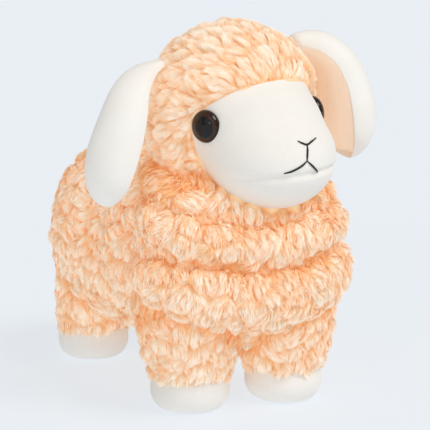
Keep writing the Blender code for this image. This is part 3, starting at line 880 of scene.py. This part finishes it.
def ribbons(name, roots, middle, tip, outward, tones_and_painted_shade, width):
    """One mesh of ribbons, each along the curve from its root past its middle to its tip."""
    count = len(roots)
    chord = unit(tip - roots)
    side = unit(np.cross(chord, outward))
    turn = rng.uniform(-RIBBON_TURN, RIBBON_TURN, count)[:, None]
    side = side * np.cos(turn) + np.cross(chord, side) * np.sin(turn)
    per = 2 * len(RINGS) + 1
    places = np.empty((count, per, 3))
    along = np.ones((count, per))
    for ring, (share, wide) in enumerate(RINGS):
        centre = roots * (1 - share) ** 2 + middle * 2 * share * (1 - share) + tip * share**2
        half = side * (wide * width / 2)[:, None]
        places[:, 2 * ring] = centre - half
        places[:, 2 * ring + 1] = centre + half
        along[:, 2 * ring : 2 * ring + 2] = share
    places[:, -1] = tip
    start = np.arange(count)[:, None] * per
    faces = [start + np.array([[2 * k, 2 * k + 1, 2 * k + 3, 2 * k + 2]]) for k in range(len(RINGS) - 1)]
    faces.append(start + np.array([[per - 3, per - 2, per - 1]]))
    loops = np.concatenate(faces, axis=1).ravel()
    sizes = np.tile([4] * (len(RINGS) - 1) + [3], count)
    mesh = bpy.data.meshes.new(name)
    mesh.vertices.add(count * per)
    mesh.vertices.foreach_set("co", places.ravel())
    mesh.loops.add(len(loops))
    mesh.loops.foreach_set("vertex_index", loops.astype(np.int32))
    mesh.polygons.add(len(sizes))
    mesh.polygons.foreach_set("loop_start", (np.cumsum(sizes) - sizes).astype(np.int32))
    mesh.update(calc_edges=True)
    write_map(mesh, np.repeat(tones_and_painted_shade, per), along.ravel())
    mesh.shade_smooth()
    mesh.normals_split_custom_set_from_vertices(np.repeat(outward, per, axis=0))
    return placed(name, mesh)


def body_flow(places, ups):
    """Down the body, swept a little back on the sides and outwards over the top."""
    out = places - np.array(ROOT.translation)
    out[:, 2] = 0
    top = ease(ups[:, 2], 0.3, 0.9)[:, None]
    front = ease(-ups[:, 1], 0.2, 0.8)[:, None]
    down = np.array([[0.0, 0.25, -1.0]]) * (1 - 0.6 * top)
    return down + unit(out + [0, 0.03, 0]) * top - np.array([[0, 0.25, 0]]) * front


def head_flow(places, ups):
    """Away from the middle of the face."""
    return places - moved(np.array([[0, -0.066, 0.0]]), HEAD_FRAME)


def leg_flow(places, ups):
    return np.tile([0.0, 0.05, -1.0], (len(places), 1))


def eye_distance(places):
    """How far each point lies from the nearer eye's axis, or far off where neither eye is near."""
    along_reach, far_off = 0.03, 1.0
    nearer = np.full(len(places), far_off)
    for matrix in EYE_FRAMES.values():
        local = moved(places, matrix.inverted())
        aside = np.hypot(local[:, 0], local[:, 1])
        nearer = np.minimum(nearer, np.where(np.abs(local[:, 2]) < along_reach, aside, far_off))
    return nearer


def inside_leg(name, places):
    local, gap = from_leg(name, places)
    return (gap < -0.001) & (local[:, 2] > LEG_BOTTOM) & (local[:, 2] < LEG_TOP)


def grow(name, patch, count, keep, flow, look, shorter, pieces, material, body):
    """Pile on a skin, in pieces. Keep says which roots stay, and shorter what share of its length it has."""
    spots, ups, creases, area = roots_on(patch, count)
    stay = keep(spots)
    spots, ups, creases = spots[stay], ups[stay], creases[stay]
    area = area * len(spots) / count
    middle, tip, outward, tones_and_painted_shade = strands(patch, spots, ups, creases, area, flow, look, shorter)
    width = look.width * rng.uniform(0.75, 1.2, len(spots))
    for part in range(pieces):
        cut = slice(part, None, pieces)
        label = f"{name}_pile_{part + 1}" if pieces > 1 else f"{name}_pile"
        made = ribbons(label, spots[cut], middle[cut], tip[cut], outward[cut], tones_and_painted_shade[cut], width[cut])
        finish_piece(made, body, material)


def grow_all(body, head, legs, tail):
    fur = pile_material()

    def off_body(spots):
        return depth_inside(BODY, spots, ROOT, BODY_INSET) < OVERLAP

    def on_body(spots):
        stay = depth_inside(HEAD, spots, HEAD_FRAME, HEAD_INSET) < OVERLAP
        stay &= depth_inside(SNOUT, spots, HEAD_FRAME, 0) < -OVERLAP
        for name in FEET:
            stay &= ~inside_leg(name, spots)
        return stay

    def on_head(spots):
        return off_body(spots) & (face_share(spots) > RIM) & (eye_distance(spots) > EYE_RADIUS - 0.0005)

    def on_leg(spots):
        return off_body(spots) & (spots[:, 2] > FOOT_HEIGHT - 0.0035)

    def on_tail(spots):
        return spots[:, 2] > 0

    def at_rim(spots):
        return 0.55 + 0.45 * ease(face_share(spots), RIM, RIM + 0.35)

    def everywhere(spots):
        return np.ones(len(spots))

    grow("body", body, 200000, on_body, body_flow, BODY_LOOK, everywhere, 4, fur, "body")
    grow("head", head, 120000, on_head, head_flow, HEAD_LOOK, at_rim, 2, fur, "body")
    for name, patch in legs.items():
        grow(name + "_leg", patch, 30000, on_leg, leg_flow, LEG_LOOK, everywhere, 1, fur, "body")
    grow("tail", tail, 9000, on_tail, leg_flow, TAIL_LOOK, everywhere, 1, fur, "tail")


def make_face():
    """The snout's cloth above the mouth and the chin's below it, sewn together in a crease."""
    made, rays = ball("muzzle_cloth", 72)
    places = np.array(SNOUT.core) + rays * distances_out(SNOUT, rays)[:, None]
    # Stuffed cloth bridges the joins between the lumps
    places = places + (blurred(places, edges_of(made), rounds=14) - places) * 0.9
    # Past the face's edge the cloth dips under the pile
    share = face_share(moved(places, HEAD_FRAME))
    reach = np.linalg.norm(places, axis=1)
    dip = CLOTH_BED + (reach - CLOTH_BED) * (1 - ease(share, RIM + 0.01, RIM + 0.10))
    places = places / reach[:, None] * np.minimum(reach, dip)[:, None]
    # The sewn mouth pulls the cloth in, most at the front
    depth, width = 0.0022, 0.0022
    front = ease(-places[:, 1], 0.045, 0.085)
    pull = depth * front * np.exp(-(((places[:, 2] - MOUTH_HEIGHT) / width) ** 2))
    places = places + unit(np.array(SNOUT.core) - places) * pull[:, None]
    place_points(made, moved(places, HEAD_FRAME))
    upper = bmesh.new()
    upper.from_mesh(made.data)
    gone = [point for point, part in zip(upper.verts, share) if part > RIM + 0.14]
    bmesh.ops.delete(upper, geom=gone, context="VERTS")
    lower = upper.copy()
    height = HEAD_FRAME @ Vector((0, 0, MOUTH_HEIGHT))
    up = HEAD_FRAME.to_3x3() @ Vector((0, 0, 1))
    for half, way in ((upper, 1), (lower, -1)):
        whole = half.verts[:] + half.edges[:] + half.faces[:]
        bmesh.ops.bisect_plane(half, geom=whole, plane_co=height, plane_no=up * way, clear_inner=True)
    upper.to_mesh(made.data)
    upper.free()
    made.data.shade_smooth()
    chin = bpy.data.meshes.new("chin_cloth")
    lower.to_mesh(chin)
    lower.free()
    chin.shade_smooth()
    below = placed("chin_cloth", chin)
    cloth = nap_material("short_white_nap", (0.945, 0.915, 0.865), (0.925, 0.89, 0.835))
    finish_piece(made, "body", cloth, ("snout_cover",))
    finish_piece(below, "body", cloth, ("chin_cover",))
    return made, below


def thread(name, points, radius, material):
    """A round thread through the points, thinner at its ends."""
    curve = bpy.data.curves.new(name, "CURVE")
    curve.dimensions = "3D"
    curve.bevel_depth = radius
    curve.bevel_resolution = 3
    curve.use_fill_caps = True
    spline = curve.splines.new("BEZIER")
    spline.bezier_points.add(len(points) - 1)
    for knot, point in zip(spline.bezier_points, points):
        knot.co = point
        knot.handle_left_type = knot.handle_right_type = "AUTO"
    spline.bezier_points[0].radius = spline.bezier_points[-1].radius = 0.55
    made = placed(name, curve)
    select_only(made)
    bpy.ops.object.convert(target="MESH")
    made = bpy.context.object
    made.data.shade_smooth()
    finish_piece(made, "body", material)


def make_stitches(cloth):
    """The nose and mouth in black thread. Places are degrees aside and up as the snout's core sees them."""
    black = speckled_material("black_thread", (0.010, 0.009, 0.009), (0.022, 0.020, 0.018), 0.6, 1500.0)
    core = HEAD_FRAME @ Vector(SNOUT.core)
    turn = HEAD_FRAME.to_3x3()

    def on_cloth(aside, up):
        aside, up = math.radians(aside), math.radians(up)
        ray = turn @ Vector((math.sin(aside) * math.cos(up), -math.cos(aside) * math.cos(up), math.sin(up)))
        hit, normal, _, _ = cloth.ray_cast(core + ray * 0.2, -ray)
        return hit + normal * 0.00025

    lines = {
        "nose_stitch": ((-6.5, 1.3), (-3.4, -0.7), (0.3, -2.1), (5.0, -0.9), (11.5, 0.9)),
        "lip_stitch": ((0.3, -2.1), (-0.6, -5.4), (-1.9, -9.0), (-2.9, -12.4)),
        "mouth_right_stitch": ((-2.9, -12.4), (-6.6, -14.6), (-11.1, -16.4), (-15.6, -17.8), (-20.5, -18.6)),
        "mouth_left_stitch": ((-2.9, -12.4), (0.4, -15.4), (4.2, -18.8), (8.0, -22.0)),
    }
    for name, places in lines.items():
        thread(name, [on_cloth(*place) for place in places], THREAD_RADIUS, black)


def make_eyes():
    gloss = eye_material()
    for name, matrix in EYE_FRAMES.items():
        dome = round_arc((EYE_RADIUS, EYE_RIM), (0, EYE_RIM + EYE_DOME), False, 22)
        rim = [(0, -0.004), (EYE_RADIUS * 0.6, -0.004), (EYE_RADIUS - 0.0006, -0.0002), (EYE_RADIUS, 0.0004)]
        made = turned(name + "_eye_dome", [*rim, *dome], 64, matrix)
        local = moved(points_of(made), matrix.inverted())
        ahead = matrix.to_3x3().inverted() @ HEAD_FRAME.to_3x3() @ Vector((0, -1, 0))
        flat = local[:, :2] / EYE_RADIUS
        flat = flat - PUPIL_AHEAD * unit(np.array(ahead)[:2]) * (1 - (flat**2).sum(axis=1, keepdims=True))
        out = np.where(local[:, 2] < EYE_RIM - 1e-5, 1.0, np.linalg.norm(flat, axis=1))
        turn = np.abs(np.arctan2(flat[:, 1], flat[:, 0])) / math.pi
        write_map(made.data, out, turn)
        finish_piece(made, "body", gloss, (name + "_eye",))


def leaf_shares(station):
    places, widths, bulges = zip(*EAR_LEAF_SHARES)
    return float(np.interp(station, places, widths)), float(np.interp(station, places, bulges))


def ear_frame(name):
    side = SIDES[name]
    rise = (side * math.cos(EAR_RISE) * math.cos(EAR_SET_BACK), math.sin(EAR_SET_BACK), math.sin(EAR_RISE))
    ray = unit(np.array([rise]))
    point = ray[0] * (distances_out(HEAD, ray)[0] + EAR_ROOT_LIFT)
    return HEAD_FRAME @ Matrix.Translation(point) @ Matrix.Rotation(-side * EAR_POSES[name].lift, 4, "Y")


def ear_wrap(station):
    """How much the front edge reaches round the head, less towards the ear's tip."""
    return float(ease(station, 0.0, 0.22) * (1 - 0.8 * ease(station, 0.30, 0.72)))


def root_share(station):
    """1 at the ear's root, and 0 from nearly half its length on."""
    return 1 - ease(station, 0.05, 0.45)


def front_share(name, station):
    """How wide the ear's front half is beside the leaf's, at a share of the length."""
    start = 0.7 + 0.3 * ease(station, 0.0, 0.12)
    spread = 0.85 + 0.20 * ear_wrap(station) + 0.15 * ease(station, 0.3, 0.72)
    return float(EAR_SHAPES[name].front * start * spread)


def rear_share(name, station):
    """How wide the ear's rear half is beside the leaf's, at a share of the length."""
    shares = EAR_SHAPES[name]
    return float(shares.rear + shares.rear_root * root_share(station))


def ear_point(name, station, u, v):
    """A point of the ear: its share of the length, then how far across and out from its middle line."""
    pose, shares = EAR_POSES[name], EAR_SHAPES[name]
    run = station * EAR_LENGTH
    bend_radius = pose.bend_length / pose.droop
    angle = pose.droop * min(run / pose.bend_length, 1)
    straight = max(run - pose.bend_length, 0)
    centre = Vector((math.sin(angle), 0, math.cos(angle) - 1)) * bend_radius
    centre += Vector((math.cos(angle), 0, -math.sin(angle))) * straight
    out = Vector((math.sin(angle), 0, math.cos(angle)))
    twist = pose.twist * min(max(station, 0) / EAR_TWIST_END_SHARE, 1)
    across = Vector((0, 1, 0)) * math.cos(twist) + out * math.sin(twist)
    out = out * math.cos(twist) - Vector((0, 1, 0)) * math.sin(twist)
    share = u / (EAR_WIDTH / 2)
    curl = (pose.rear_curl if u > 0 else EAR_FRONT_CURL * ear_wrap(station)) * share**2
    outward = Vector((math.cos(EAR_RISE), 0, math.sin(EAR_RISE)))
    centre -= outward * shares.sink * (1 - float(ease(station, 0.0, 0.25)))
    centre.y += shares.back * (1 - float(ease(station, 0.0, 0.45)))
    point = centre + across * u + out * (v - curl)
    return Vector((point.x * SIDES[name], point.y, point.z))


def applied_subdivision(obj, levels):
    select_only(obj)
    step = obj.modifiers.new("round", "SUBSURF")
    step.levels = step.render_levels = levels
    bpy.ops.object.modifier_apply(modifier="round")


def make_ear_shell(name, matrix, cloth):
    """The white back, padded and rolled round the edge of the inner face."""
    shares = EAR_SHAPES[name]
    columns = 14
    # The edge rolls over the inner face, a little in from the ear's outline
    roll_place, roll_width, roll_depth = 0.86, 0.13, 0.0030
    rings = []
    for station in EAR_STATIONS:
        width, bulge = leaf_shares(max(station, 0))
        bulge += shares.root_bulge * root_share(station)
        half = width * EAR_WIDTH / 2 * 1.02
        ring = []
        for step in range(2 * columns):
            turn = math.pi * step / columns
            u = -half * math.cos(turn)
            u *= front_share(name, station) if u < 0 else rear_share(name, station)
            if step <= columns:
                v = bulge * EAR_BULGE * 1.06 * shares.bulge * abs(math.sin(turn)) ** 0.8
            else:
                roll = math.exp(-(((abs(math.cos(turn)) - roll_place) / roll_width) ** 2))
                v = EAR_CUP * bulge * math.sin(turn) ** 2 - roll_depth * bulge * roll + 0.0008
            ring.append(matrix @ ear_point(name, station, u, v))
        rings.append(ring)
    back = tube(name + "_ear_shell", rings)
    applied_subdivision(back, 2)
    back.data.shade_smooth()
    covers = (name + "_ear_back", name + "_ear_filling")
    finish_piece(back, name + "_ear", cloth, covers)


def make_ear_plush(name, matrix, plush):
    """The peach plush: a sheet just proud of the cupped inner face, with its edge turned in."""
    rows_of, columns_of = 48, 24
    height, sunk = 0.0044, 0.0030
    shape = bmesh.new()
    layer = shape.loops.layers.uv.new(OWN_MAP)
    grid, shares = [], {}
    for row in range(rows_of + 1):
        station = 0.03 + 0.945 * row / rows_of
        width, bulge = leaf_shares(station)
        half = width * EAR_WIDTH / 2
        front = -half * (0.60 + 0.20 * ease(station, 0.15, 0.85)) * EAR_SHAPES[name].front
        rear = half * 0.90 * rear_share(name, station)
        line = []
        for column in range(columns_of + 1):
            place = 2 * column / columns_of - 1
            u = (front + rear) / 2 + (rear - front) / 2 * math.sin(place * math.pi / 2)
            cup = EAR_CUP * bulge * max(1 - (u / half) ** 2, 0)
            edge = min(min(1 - abs(place), min(row, rows_of - row) / rows_of * 3) / 0.25, 1)
            proud = height * math.sqrt(1 - (1 - edge) ** 2) - sunk
            point = shape.verts.new(matrix @ ear_point(name, station, u, cup - proud))
            shares[point] = (station, (place + 1) / 2)
            line.append(point)
        grid.append(line)
    for first, second in zip(grid, grid[1:]):
        for column in range(columns_of):
            face = shape.faces.new((first[column], first[column + 1], second[column + 1], second[column]))
            for loop in face.loops:
                loop[layer].uv = shares[loop.vert]
    made = from_shape(name + "_ear_plush", shape)
    # The sheet's outside is the side away from the ear's back
    middle = made.data.polygons[len(made.data.polygons) // 2]
    back = matrix @ ear_point(name, 0.5, 0, 0.02)
    if middle.normal.dot(back - middle.center) > 0:
        made.data.flip_normals()
    finish_piece(made, name + "_ear", plush, (name + "_ear_lining",))


def make_ears():
    cloth = nap_material("ear_nap", (0.955, 0.93, 0.885), (0.935, 0.905, 0.855))
    plush = lining_material()
    for name in SIDES:
        matrix = ear_frame(name)
        make_ear_shell(name, matrix, cloth)
        make_ear_plush(name, matrix, plush)


def make_feet():
    cloth = nap_material("foot_nap", (0.945, 0.915, 0.87), (0.92, 0.885, 0.83))
    sole_cloth = nap_material("sole_nap", (0.90, 0.87, 0.81), (0.86, 0.82, 0.76))
    sides = 64
    widest = (FOOT_RADIUS, FOOT_WIDEST)
    lower = round_arc((SOLE_RADIUS, 0.0006), widest, True, 14)
    upper = round_arc(widest, (ANKLE_RADIUS - 0.001, FOOT_HEIGHT + 0.003), False, 12)[1:]
    seam = [(0, 0.0022), (SOLE_RADIUS - 0.0035, 0.0020), (SOLE_RADIUS - 0.0012, 0.0012)]
    pad_profile = [*seam, *lower, *upper, (0, FOOT_HEIGHT + 0.004)]
    under = [(0, 0.0), (SOLE_RADIUS - 0.003, 0.0), (SOLE_RADIUS - 0.0012, 0.0005)]
    over = [(SOLE_RADIUS - 0.0008, 0.0012), (SOLE_RADIUS - 0.002, 0.0018), (0, 0.0019)]
    for name in FEET:
        matrix = foot_frame(name)
        pad = turned(name + "_foot_pad", pad_profile, sides, matrix)
        finish_piece(pad, "body", cloth, (name + "_foot_cover",))
        sole = turned(name + "_foot_disc", [*under, *over], sides, matrix)
        finish_piece(sole, "body", sole_cloth, (name + "_foot_sole",))


def lamp(name, kind, direction, energy, colour, spread):
    """A lamp that shines from that direction, as seen from the sheep."""
    data = bpy.data.lights.new(name, kind)
    data.energy = energy
    data.color = colour
    data.angle = spread
    made = placed(name, data)
    made.rotation_euler = Vector(direction).to_track_quat("Z", "Y").to_euler()


def make_stage():
    """A pale floor that fills the view, soft suns from the upper right front, and the camera."""
    bpy.ops.object.select_all(action="DESELECT")
    bpy.ops.mesh.primitive_plane_add(size=400)
    floor = bpy.context.object
    floor.name = "floor"
    made = Nodes("floor_paper", Roughness=0.9, Specular_IOR_Level=0.0, Emission_Color=FLOOR_SHADE)
    made.feed(made.shader, {"Base Color": (0.20, 0.21, 0.22), "Emission Strength": 0.78})
    floor.data.materials.append(made.material)
    world = bpy.data.worlds.new("studio")
    world.use_nodes = True
    background = world.node_tree.nodes["Background"]
    background.inputs["Color"].default_value = (1.0, 0.98, 0.95, 1)
    background.inputs["Strength"].default_value = 0.42
    # The camera sees the floor's own shade past its edge
    beyond = world.node_tree.nodes.new("ShaderNodeBackground")
    beyond.inputs["Color"].default_value = (*FLOOR_SHADE, 1)
    seen = world.node_tree.nodes.new("ShaderNodeLightPath")
    either = world.node_tree.nodes.new("ShaderNodeMixShader")
    for output, socket in (
        (seen.outputs["Is Camera Ray"], either.inputs[0]),
        (background.outputs[0], either.inputs[1]),
        (beyond.outputs[0], either.inputs[2]),
        (either.outputs[0], world.node_tree.nodes["World Output"].inputs["Surface"]),
    ):
        world.node_tree.links.new(output, socket)
    bpy.context.scene.world = world
    lamp("key", "SUN", (0.35, -0.70, 1.05), 1.42, (1.0, 0.985, 0.96), math.radians(28))
    lamp("fill", "SUN", (-0.75, -0.75, 0.35), 0.42, (1.0, 0.98, 0.95), math.radians(70))
    lamp("catchlight", "SUN", (-0.80, -0.55, 0.25), 0.16, (1.0, 1.0, 1.0), math.radians(2.5))
    data = bpy.data.cameras.new("camera")
    data.sensor_width = 36
    data.lens = data.sensor_width / 2 / HALF_PICTURE * FOCAL_PIXELS
    data.clip_end = 1000
    camera = placed("camera", data)
    back = Vector(CAMERA_BACK).normalized()
    right = Vector((0, 0, 1)).cross(back).normalized()
    up = back.cross(right)
    place = ROOT @ Vector(CAMERA_TARGET) + back * CAMERA_DISTANCE
    camera.matrix_world = Matrix.Translation(place) @ Matrix((right, up, back)).transposed().to_4x4()
    bpy.context.scene.camera = camera
    bpy.context.scene.view_settings.view_transform = "Standard"


def main():
    make_stage()
    body = fuller_rump(skin_ball("body_skin", BODY, ROOT, cells=100, inset=BODY_INSET, deepen=0.009))
    # Painted shade also where the body's pile meets the head and the legs
    by_head = 0.45 * skin_near(body.obj, HEAD, HEAD_FRAME, HEAD_INSET, reach=0.008, touch=0.001)
    by_legs = 0.8 * legs_near(points_of(body.obj), reach=0.009)
    body = tufted(meeting(body, np.maximum(by_head, by_legs)), BODY_LOOK)
    head = head_skin()
    # Painted shade where the head's pile meets the body
    by_body = skin_near(head.obj, BODY, ROOT, BODY_INSET, reach=0.011, touch=0.001)
    head = tufted(meeting(head, by_body), HEAD_LOOK)
    legs = {}
    for name in FEET:
        leg = leg_skin(name)
        # Painted shade where the leg's pile meets the body
        by_body = skin_near(leg.obj, BODY, ROOT, BODY_INSET, reach=0.013, touch=0.002)
        legs[name] = tufted(meeting(leg, by_body), LEG_LOOK)
    tail = tufted(tail_skin(), TAIL_LOOK)
    backing = backing_material()
    finish_piece(body.obj, "body", backing, ("body_cover", "body_filling"))
    finish_piece(head.obj, "body", backing, ("head_cover", "head_filling"))
    for name, patch in legs.items():
        finish_piece(patch.obj, "body", backing, (name + "_leg_cover", name + "_leg_filling"))
    finish_piece(tail.obj, "tail", backing, ("tail_cover",))
    make_stitches(tree_of(*make_face()))
    make_eyes()
    make_ears()
    make_feet()
    plastic = speckled_material("washer_grain", (0.75, 0.75, 0.72), (0.68, 0.68, 0.65), 0.45, 900.0)
    for side in SIDES:
        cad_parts[side + "_eye_washer"].material_slots[0].material = plastic
    grow_all(body, head, legs, tail)


main()
